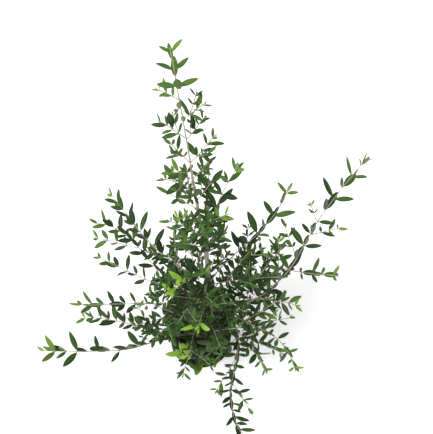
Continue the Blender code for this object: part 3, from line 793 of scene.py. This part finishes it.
def oliveMaterial():
    colours = {
        "skin": (0.105, 0.130, 0.058, 1),
        "bloom": (0.190, 0.212, 0.150, 1),
        "speck": (0.330, 0.350, 0.240, 1),
        "stalk": (0.300, 0.320, 0.140, 1),
    }
    maker = Maker("oliveSkin", IOR=1.42)
    along, _, onStalk, _ = maker.paint()
    cloud = maker.noise(130.0, 3.0)
    speck = maker.noise(1500.0, 1.0).ramp(0.64, 0.70)
    dusty = cloud.ramp(0.35, 0.70) * 0.7 + (1 - along) * 0.2
    colour = maker.mix(dusty, colours["skin"], colours["bloom"])
    colour = maker.mix(speck * 0.7, colour, colours["speck"])
    colour = maker.mix(onStalk, colour, colours["stalk"])
    return maker.finish(colour, 0.42 + cloud * 0.2, speck, 0.00015)


# Meshes


class Skin:
    # gathers points and faces into one mesh, with a material for each face and the four painted
    # numbers for each of its corners
    def __init__(self):
        self.points = []
        self.faces = []
        self.materials = []
        self.paint = []

    def add(self, points, faces, paint, material=0):
        # paint has one row for each point, or a list of rows for each face
        start = len(self.points)
        self.points.extend(points)
        perFace = len(paint) == len(faces) and isinstance(paint[0][0], (list, tuple))
        for i, face in enumerate(faces):
            self.faces.append([start + k for k in face])
            self.materials.append(material)
            self.paint.extend(paint[i] if perFace else [paint[k] for k in face])

    def piece(self, name, materials, sharp=40):
        mesh = bpy.data.meshes.new(name)
        mesh.from_pydata([tuple(point) for point in self.points], [], self.faces)
        for material in materials:
            mesh.materials.append(material)
        mesh.polygons.foreach_set("material_index", self.materials)
        layer = mesh.color_attributes.new("paint", "FLOAT_COLOR", "CORNER")
        layer.data.foreach_set("color", np.array(self.paint, np.float32).ravel())
        mesh.polygons.foreach_set("use_smooth", [True] * len(self.faces))
        mesh.validate()
        mesh.set_sharp_from_angle(angle=math.radians(sharp))
        piece = bpy.data.objects.new(name, mesh)
        bpy.context.scene.collection.objects.link(piece)
        return piece


def standIn(piece, node):
    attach(piece, "root")
    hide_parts(node)


def closedSleeve(rows, count):
    ends = (tuple(reversed(range(count))), tuple(range((rows - 1) * count, rows * count)))
    return [*sleeveFaces(rows, count), *ends]


def pointedSleeve(rows, count):
    # closed to one point at each end: the first and the last of its points
    faces = [tuple(1 + c for c in face) for face in sleeveFaces(rows, count)]
    last = 1 + (rows - 1) * count
    for k in range(count):
        after = (k + 1) % count
        faces.append((0, 1 + after, 1 + k))
        faces.append((last + count, last + k, last + after))
    return faces


def addTube(skin, line, sides, paints, material):
    # line is points and radii; paints has one row for each of them
    points = []
    spoke = None
    for i, (point, radius) in enumerate(line):
        axis = axisAt(line, i)
        if spoke is None:
            spoke = axis.orthogonal()
        spoke = (spoke - axis * spoke.dot(axis)).normalized()
        other = axis.cross(spoke)
        for a in roundAngles(sides):
            points.append(point + (spoke * math.cos(a) + other * math.sin(a)) * radius)
    rowPaints = [paint for paint in paints for _ in range(sides)]
    skin.add(points, closedSleeve(len(line), sides), rowPaints, material)


leafLook = {
    "stations": (0.0, 0.05, 0.11, 0.20, 0.32, 0.45, 0.58, 0.71, 0.82, 0.91, 0.97),
    "section": ((1, 0), (0.5, 1), (0, 0.7), (-0.5, 1), (-1, 0), (-0.5, -1), (0, -1), (0.5, -1)),
    "stalk": 0.07,  # share of the leaf's length
    "stalkRadius": 0.0006,
    "width": 0.300,
    "widths": (0.84, 1.14),
    "belly": 0.92,  # below 1 it sits nearer the stalk
    "bluntness": 0.64,
    "thickness": 0.0004,
    "rib": 0.0005,
    # ranges of what bends each leaf its own way
    "arch": (-0.02, 0.05),
    "droop": (-0.02, 0.06),
    "sickle": (-0.05, 0.05),
    "twist": (-0.35, 0.35),  # radians
    "curl": (0.04, 0.30),
    "freshCurl": (-0.25, 0.6),
}


def leafOutline(share):
    # half width of the blade, as a share of its widest, at a share of the leaf's length
    blade = (share - leafLook["stalk"]) / (1 - leafLook["stalk"])
    if blade <= 0:
        return 0
    return math.sin(math.pi * min(blade, 1) ** leafLook["belly"]) ** leafLook["bluntness"]


def addLeaf(skin, leaf, fresh, rng):
    length, stalk = leaf["length"], leafLook["stalkRadius"]
    width = length * leafLook["width"] * rng.uniform(*leafLook["widths"]) / 2
    arch = rng.uniform(*leafLook["arch"])
    droop = leafHabit["droop"] + rng.uniform(*leafLook["droop"])
    sickle = rng.uniform(*leafLook["sickle"])
    twist = rng.uniform(*leafLook["twist"])
    freshCurl, most = leafLook["freshCurl"]
    curl = mix(rng.uniform(*leafLook["curl"]), freshCurl, fresh * most)
    tint = rng.random()
    points = []
    for share in leafLook["stations"]:
        half = max(width * leafOutline(share), stalk)
        turn = Matrix.Rotation(twist * share, 3, leaf["aim"])
        across, normal = turn @ leaf["across"], turn @ leaf["normal"]
        centre = leaf["base"] + leaf["aim"] * length * share
        centre += leaf["normal"] * length * (arch * math.sin(math.pi * share) - droop * share**2)
        centre += leaf["across"] * length * sickle * share**2
        thick = mix(stalk, leafLook["thickness"] / 2, min(1, share / leafLook["stalk"] / 2))
        for side, level in leafLook["section"]:
            lift = level * thick - curl * half * side**2
            if side == 0 and level < 0:
                lift -= leafLook["rib"] * (1 - share)
            points.append(centre + across * half * side + normal * lift)
    tip = leaf["base"] + leaf["aim"] * length - leaf["normal"] * length * droop
    points.append(tip + leaf["across"] * length * sickle)
    rows, count = len(leafLook["stations"]), len(leafLook["section"])
    ribs = [abs(side) for side, _ in leafLook["section"]]

    def paintFace(k, *fromRib):
        under = float(k >= count / 2)
        return [(fresh, tint, under, rib) for rib in fromRib]

    around = [(k, (k + 1) % count) for k in range(count)]
    faces = sleeveFaces(rows, count)
    paint = [paintFace(k, ribs[k], ribs[j], ribs[j], ribs[k]) for k, j in around] * (rows - 1)
    last = count * (rows - 1)
    faces += [(last + k, last + j, last + count) for k, j in around]
    paint += [paintFace(k, ribs[k], ribs[j], 1) for k, j in around]
    faces.append(tuple(reversed(range(count))))
    paint.append(paintFace(count, *[1] * count))
    skin.add(points, faces, paint)


# how fresh the leaves of a shoot are along it and at its tip, from 0, dark and leathery, to 1, new
# and yellow-green
freshness = {
    "plain": (0.08, 0.60),
    "twig": (0.12, 0.42),
    "leader": (0.42, 0.60),
    "crown": (0.04, 0.30),
    "twig_front_bright": (0.95, 1.0),
    "twig_front_pair": (0.95, 1.0),
    "shoot_over_rim": (0.35, 1.0),
    "twig_left_bright": (0.30, 0.60),
    "twig_left_top": (0.50, 0.70),
    "twig_right_top": (0.35, 0.60),
    "twig_right_bright": (0.25, 0.85),
    "twig_left_tender": (0.20, 0.80),
    "twig_right_dark": (0.05, 0.20),
    "shoot_front": (0.06, 0.45),
    "shoot_front_right": (0.22, 0.66),
    "shoot_left_longest": (0.10, 0.78),
}


freshPairs = 3  # of leaves behind the tip
freshStray = 0.10


def freshOf(spec, fromTip):
    family = spec["name"].split("_")[0]
    along, tip = freshness.get(spec["name"]) or freshness.get(family) or freshness["plain"]
    return mix(along, tip, max(0, 1 - fromTip / freshPairs))


stemLook = {
    "steps": 4,
    "sides": 7,
    "girth": 0.92,
    "foot": 1.25,  # wider inside what it grows on
    "thinnest": 0.0009,
    "point": 0.0003,
    "knuckle": 0.16,
    "green": 4,  # pairs of leaves behind the tip where the bark is still young
    "budLeaf": 0.30,
    "budSpread": 0.28,
    "budStart": 0.002,
}
tipLeaves = {  # where the leaves at the very tip have unfolded already
    "shoot_right_tall": 0.58,
    "shoot_back_right": 0.50,
    "shoot_right_middle": 0.50,
}


def addStem(skin, stem, root, rng):
    # the twig, knuckled where its leaves grow, then its leaves and its side twigs
    spec, line = stem["spec"], stem["line"]
    points = [root, *(point for point, _ in line), stem["bud"]]
    radii = [line[0][1] * stemLook["foot"], *(radius for _, radius in line), stemLook["point"]]
    steps = stemLook["steps"]
    count = len(points) - 1
    course = []
    paints = []
    tint = rng.random()
    for i in range(count * steps + 1):
        place = i / steps
        nearNode = abs(place - round(place)) * steps
        knuckle = 1 + (stemLook["knuckle"] if nearNode < 0.5 and 1 < place < count else 0)
        thinnest = max(stemLook["point"], stemLook["thinnest"] * min(1, count - place))
        radius = max(thinnest, smoothCurve(radii, place / count) * stemLook["girth"]) * knuckle
        course.append((smoothCurve(points, place / count), radius))
        paints.append((max(0, 1 - (count - place) / stemLook["green"]), tint, 0, 1))
    addTube(skin, course, stemLook["sides"], paints, 1)
    last = len(line) - 1
    for (node, side), grown in stem["grown"].items():
        if "line" in grown:
            addStem(skin, grown, line[node][0], rng)
        else:
            fresh = freshOf(spec, grown["fromTip"]) + rng.uniform(-freshStray, freshStray)
            addLeaf(skin, grown, min(1, max(0, fresh)), rng)
    axis, faces = stem["sides"][last]
    for side in ((last + 1) % 2, (last + 1) % 2 + 2):
        aim = (axis + faces[side] * stemLook["budSpread"]).normalized()
        normal = (faces[side] - aim * faces[side].dot(aim)).normalized() * -1
        bud = {
            "base": line[-1][0] + axis * stemLook["budStart"],
            "aim": aim,
            "normal": normal,
            "across": normal.cross(aim),
            "length": spec["leaf"] * tipLeaves.get(spec["name"], stemLook["budLeaf"]),
        }
        addLeaf(skin, bud, freshOf(spec, 0), rng)


leaderSunk = 0.01  # how far down the trunk the leader's foot is


def makeShoots(stems, line, leafSkin, stemSkin):
    for name, stem in stems.items():
        if stem["spec"]["on"] != "trunk":
            continue
        skin = Skin()
        sunk = leaderSunk if stem["spec"] in leaderShoot else 0
        root = placeOnTrunk(line, stem["spec"]["at"] - sunk)[0]
        addStem(skin, stem, root, random.Random(name + " looks"))
        standIn(skin.piece("grown_" + name, [leafSkin, stemSkin]), name)


trunkLook = {
    "sides": 18,
    "steps": 22,
    "rough": 0.07,
    "grain": (160, 160, 70),
    "collar": 0.18,  # swelling where a branch leaves it
    "collarHeight": 0.006,
    "flare": 0.35,  # and at the soil
    "flareHeight": 0.008,
    "flareDepth": 0.004,
    "paleAt": 0.8,  # height from which the bark is palest
}


def makeTrunk(stems, material):
    line = trunkLine(trunkLook["steps"])
    heights = [stem["spec"]["at"] for stem in stems.values() if stem["spec"]["on"] == "trunk"]
    skin = Skin()
    points = []
    paints = []
    sides = trunkLook["sides"]
    for i, (point, radius) in enumerate(line):
        axis = axisAt(line, i)
        spoke = axis.cross(Vector((0, 1, 0))).normalized()
        other = axis.cross(spoke)
        nearest = max(math.exp(-(((point.z - at) / trunkLook["collarHeight"]) ** 2)) for at in heights)
        swell = 1 + trunkLook["collar"] * nearest
        if point.z > soil["top"] - trunkLook["flareDepth"]:
            rise = max(0, point.z - soil["top"])
            swell += trunkLook["flare"] * math.exp(-rise / trunkLook["flareHeight"])
        for a in roundAngles(sides):
            out = spoke * math.cos(a) + other * math.sin(a)
            bump = noise.noise((point + out * radius) * Vector(trunkLook["grain"]))
            points.append(point + out * radius * (swell + trunkLook["rough"] * bump))
            paints.append((min(1, point.z / trunkLook["paleAt"]), 0.5, 0, 1))
    skin.add(points, closedSleeve(len(line), sides), paints)
    standIn(skin.piece("olive_trunk", [material], 60), "trunk")


def lathe(profile, sides, paints):
    # points and faces of a solid turned about Z; the profile starts and ends on the axis
    (_, low), *rows, (_, high) = profile
    angles = roundAngles(sides)
    points = [Vector((0, 0, low))]
    points += [Vector((r * math.cos(a), r * math.sin(a), height)) for r, height in rows for a in angles]
    points.append(Vector((0, 0, high)))
    rowPaints = [paint for paint in paints[1:-1] for _ in range(sides)]
    return points, pointedSleeve(len(rows), sides), [paints[0], *rowPaints, paints[-1]]


def wallRadius(height):
    return mix(pot["footRadius"], pot["rimRadius"] - pot["lipReach"], height / pot["height"])


def roundedCorner(radius, height, reach, start, steps=5):
    # an arc about a point, from start degrees through a quarter turn
    angles = [math.radians(start + 90 * k / steps) for k in range(steps + 1)]
    return [(radius + reach * math.cos(a), height + reach * math.sin(a)) for a in angles]


potLook = {
    "sides": 128,
    "edge": 0.0010,  # radius of the rounded edges
    "chamfer": 0.0006,
    "groove": 0.0006,  # depth of the moulded grooves
    "drainHoles": 8,
    "drainTurn": 0.27,  # keeps their corners off the floor's own edges
    "drainRing": 0.056,
    "drainRadius": 0.006,
    "drainSides": 32,
    "drill": 0.010,
}


def potProfile():
    # from the middle of the underside, up the outside, over the lip and down to the middle of the
    # floor, and the number of its points before the inside begins
    edge, chamfer = potLook["edge"], potLook["chamfer"]
    foot, rim, top = pot["footRadius"], pot["rimRadius"], pot["height"]
    under = top - pot["lipHeight"]
    grooved = (  # heights up the wall, and whether the groove is there
        (0.010, False), (0.0104, True), (0.0124, True), (0.0128, False), (0.045, False), (0.085, False),
        (under - 0.0055, False), (under - 0.005, True), (under, True),
    )
    outside = [(0, 0), (foot - 4 * edge, 0), *roundedCorner(foot - edge, edge, edge, -90)]
    outside += [(wallRadius(z) - potLook["groove"] * deep, z) for z, deep in grooved]
    outside += [(rim - chamfer, under), (rim, under + chamfer)]
    outside += roundedCorner(rim - edge, top - edge, edge, 0)
    inside = roundedCorner(wallRadius(top) - pot["wall"] + edge, top - edge, edge, 90)
    inside += [(wallRadius(z) - pot["wall"], z) for z in (0.12, 0.07, pot["floor"])]
    return [*outside, *inside, (0, pot["floor"])], len(outside)


def makePot(material):
    profile, outside = potProfile()
    paints = [(z / pot["height"], 0.5, float(i > outside), 1) for i, (_, z) in enumerate(profile)]
    skin = Skin()
    skin.add(*lathe(profile, potLook["sides"], paints))
    piece = skin.piece("black_nursery_pot", [material], 35)
    drills = []
    for k in range(potLook["drainHoles"]):
        a = 2 * math.pi * (k + potLook["drainTurn"]) / potLook["drainHoles"]
        x, y = potLook["drainRing"] * math.cos(a), potLook["drainRing"] * math.sin(a)
        bpy.ops.mesh.primitive_cylinder_add(
            vertices=potLook["drainSides"],
            radius=potLook["drainRadius"],
            depth=potLook["drill"],
            location=(x, y, pot["floor"] / 2),
        )
        drills.append(bpy.context.object)
        cut = piece.modifiers.new("drain", "BOOLEAN")
        cut.object = drills[-1]
        cut.operation = "DIFFERENCE"
    graph = bpy.context.evaluated_depsgraph_get()
    drilled = bpy.data.meshes.new_from_object(piece.evaluated_get(graph))
    piece.modifiers.clear()
    piece.data = drilled
    for drill in drills:
        bpy.data.objects.remove(drill)
    standIn(piece, "nursery_pot")


soilLook = {
    "rings": 40,
    "sides": 120,
    "gap": 0.0006,  # to the pot's wall
    "floorGap": 0.0003,
    "relief": 0.0022,
    "level": 0.35,  # of the relief, that lies under the swell
    "grains": ((60, 3, 1.0), (190, 7, 0.5)),  # scale, seed and strength
}
lumps = {
    "count": 520,
    "sizes": (0.0012, 0.0045),
    "grit": 0.0022,  # only the smallest are grit
    "clearOfTrunk": 0.011,
    "clearOfWall": 0.005,
    "rings": 5,
    "sides": 7,
    "stretch": ((0.8, 1.7), (0.6, 1.1), (0.35, 0.8)),
    "rough": (0.75, 1.15),
    "tilt": 0.35,  # radians
    "sunk": 0.10,
}


def soilHeight(x, y):
    share = math.hypot(x, y) / pot["rimRadius"]
    rough = -soilLook["level"]
    for scale, seed, strength in soilLook["grains"]:
        rough += strength * noise.noise(Vector((x * scale, y * scale, seed)))
    return soil["top"] - soil["swell"] * share**2 + soilLook["relief"] * rough


def makeSoil(material):
    edge = soil["top"] - soil["swell"]
    reach = wallRadius(edge) - pot["wall"] - soilLook["gap"]
    sides, rings = soilLook["sides"], soilLook["rings"]
    foot = pot["floor"] + soilLook["floorGap"]
    points = [Vector((0, 0, foot))]
    rows = [(wallRadius(foot) - pot["wall"] - soilLook["gap"], foot)]
    rows += [(reach * (rings - i) / rings, None) for i in range(rings)]
    for radius, height in rows:
        for a in roundAngles(sides):
            x, y = radius * math.cos(a), radius * math.sin(a)
            points.append(Vector((x, y, soilHeight(x, y) if height is None else height)))
    points.append(Vector((0, 0, soilHeight(0, 0))))
    skin = Skin()
    skin.add(points, pointedSleeve(len(rows), sides), [(0, 0.3, 0, 1)] * len(points))
    addLumps(skin, reach - lumps["clearOfWall"])
    standIn(skin.piece("potting_soil", [material], 55), "soil")


def addLumps(skin, reach):
    # crumbs, bark chips and a little grit, half sunk in the soil
    rng = random.Random("lumps")
    rings, sides = lumps["rings"], lumps["sides"]
    for _ in range(lumps["count"]):
        a, r = rng.uniform(0, 2 * math.pi), reach * math.sqrt(rng.random())
        if r < lumps["clearOfTrunk"]:
            continue
        size = mix(*lumps["sizes"], rng.random() ** 2)
        kind = rng.choice((0, 0, 0, 0.5, 0.65, 1.0 if size < lumps["grit"] else 0.5))
        stretch = Vector([rng.uniform(*limits) for limits in lumps["stretch"]])
        spin = Matrix.Rotation(rng.uniform(0, 6.28), 3, "Z")
        spin = spin @ Matrix.Rotation(rng.gauss(0, lumps["tilt"]), 3, "X")
        x, y = r * math.cos(a), r * math.sin(a)
        centre = Vector((x, y, soilHeight(x, y) + size * lumps["sunk"]))
        points = []
        for i in range(rings):
            tilt = math.pi * (i + 0.5) / rings
            wide, high = math.sin(tilt), -math.cos(tilt)
            for turn in roundAngles(sides):
                out = Vector((wide * math.cos(turn), wide * math.sin(turn), high)) * stretch
                points.append(centre + spin @ out * size * rng.uniform(*lumps["rough"]))
        skin.add(points, closedSleeve(rings, sides), [(kind, rng.random(), 0, 1)] * len(points))


oliveLook = {
    "rings": 16,
    "sides": 24,
    "stalkFoot": 1.3,
    "stalkSunk": 0.0012,
    "stalkCollar": 0.001,
    "point": 0.06,
    "tip": 0.04,
    "greenCap": 0.35,  # radians from the stalk
}


def makeOlives(hung, material):
    for olive, place in hung:
        half = olive["radius"] * oliveFruit["stretch"]
        stalk, reach = oliveFruit["stalkRadius"], oliveFruit["stalkLength"]
        foot = -oliveLook["stalkSunk"]
        wide = stalk * oliveLook["stalkFoot"]
        profile = [(0, foot), (wide, foot), (stalk, oliveLook["stalkCollar"]), (stalk, reach)]
        paints = [(0, 0.5, 1, 1)] * 4
        for k in range(oliveLook["rings"]):
            a = math.pi * (k + 1) / (oliveLook["rings"] + 1)
            pointed = 1 + oliveLook["point"] * max(0, -math.cos(a)) ** 4
            profile.append((olive["radius"] * math.sin(a), reach + half - half * math.cos(a) * pointed))
            paints.append((a / math.pi, 0.5, float(a < oliveLook["greenCap"]), 1))
        profile.append((0, reach + half * (2 + oliveLook["tip"])))
        paints.append((1, 0.5, 0, 1))
        points, faces, paints = lathe(profile, oliveLook["sides"], paints)
        skin = Skin()
        skin.add([place @ point for point in points], faces, paints)
        standIn(skin.piece("hung_" + olive["name"], [material], 50), olive["name"])


line = trunkLine(trunk["steps"])
potLine = [(Vector((0, 0, 0)), pot["footRadius"]), (Vector((0, 0, pot["height"])), pot["rimRadius"])]
solids = [
    solidOf(roundRings(line, 2 * trunk["cadSides"]), "trunk"),
    solidOf(roundRings(potLine, pot["cadSides"]), "pot"),
]
stems = growStems(line, solids)
hung = hangOlives(line, stems, solids)
growLeaves(stems, solids)
fillIn(stems, solids)
leafCount = sum("line" not in grown for stem in stems.values() for grown in stem["grown"].values())
print("grown:", len(stems), "twigs,", leafCount, "leaves")

makeShoots(stems, line, leafMaterial(), stemMaterial())
print("shoots skinned")
makeTrunk(stems, barkMaterial())
makePot(potMaterial())
makeSoil(soilMaterial())
makeOlives(hung, oliveMaterial())
print("trunk, pot, soil and olives made")


# Floor, light and camera
studio = {
    "floorSize": 60,
    "floorColour": (0.90, 0.90, 0.90, 1),
    "floorGlow": 0.25,
    "sky": {"horizon": (1, 1, 1, 1), "overhead": (0.58, 0.58, 0.58, 1), "between": (0.42, 0.75)},
    "sun": {"from": (-0.55, -0.45, 1.0), "strength": 2.5, "spread": 22},
    "camera": {"lens": 58.2, "sensor": 36, "at": (0.041, -0.875, 1.646), "tilt": 38},
}


def makeFloor():
    half = studio["floorSize"] / 2
    mesh = bpy.data.meshes.new("floor")
    corners = [(-half, -half, 0), (half, -half, 0), (half, half, 0), (-half, half, 0)]
    mesh.from_pydata(corners, [], [(0, 1, 2, 3)])
    maker = Maker("paleFloor", Emission_Color=(1, 1, 1, 1), Emission_Strength=studio["floorGlow"])
    mesh.materials.append(maker.finish(studio["floorColour"], 0.9))
    floor = bpy.data.objects.new("floor", mesh)
    bpy.context.scene.collection.objects.link(floor)


def makeSun():
    lamp = bpy.data.lights.new("softSun", "SUN")
    lamp.energy = studio["sun"]["strength"]
    lamp.angle = math.radians(studio["sun"]["spread"])
    sun = bpy.data.objects.new("softSun", lamp)
    bpy.context.scene.collection.objects.link(sun)
    sun.rotation_euler = Vector(studio["sun"]["from"]).to_track_quat("Z", "Y").to_euler()


def makeWorld():
    # white round the horizon and dimmer overhead
    maker = Maker("studio", "worlds", "Background")
    way = maker.add("ShaderNodeTexCoord").outputs["Generated"]
    height = Value(maker, maker.add("ShaderNodeSeparateXYZ", None, {0: way}).outputs[2])
    sky = studio["sky"]
    colour = maker.mix(height.ramp(*sky["between"]), sky["horizon"], sky["overhead"])
    maker.feed(maker.shader.inputs["Color"], colour)
    bpy.context.scene.world = maker.made


def makeCamera():
    view = studio["camera"]
    lens = bpy.data.cameras.new("camera")
    lens.lens = view["lens"]
    lens.sensor_width = view["sensor"]
    camera = bpy.data.objects.new("camera", lens)
    camera.location = view["at"]
    camera.rotation_euler = (math.radians(view["tilt"]), 0, 0)
    bpy.context.scene.collection.objects.link(camera)
    bpy.context.scene.camera = camera
    bpy.context.scene.view_settings.view_transform = "Standard"


makeFloor()
makeSun()
makeWorld()
makeCamera()
print("studio ready")
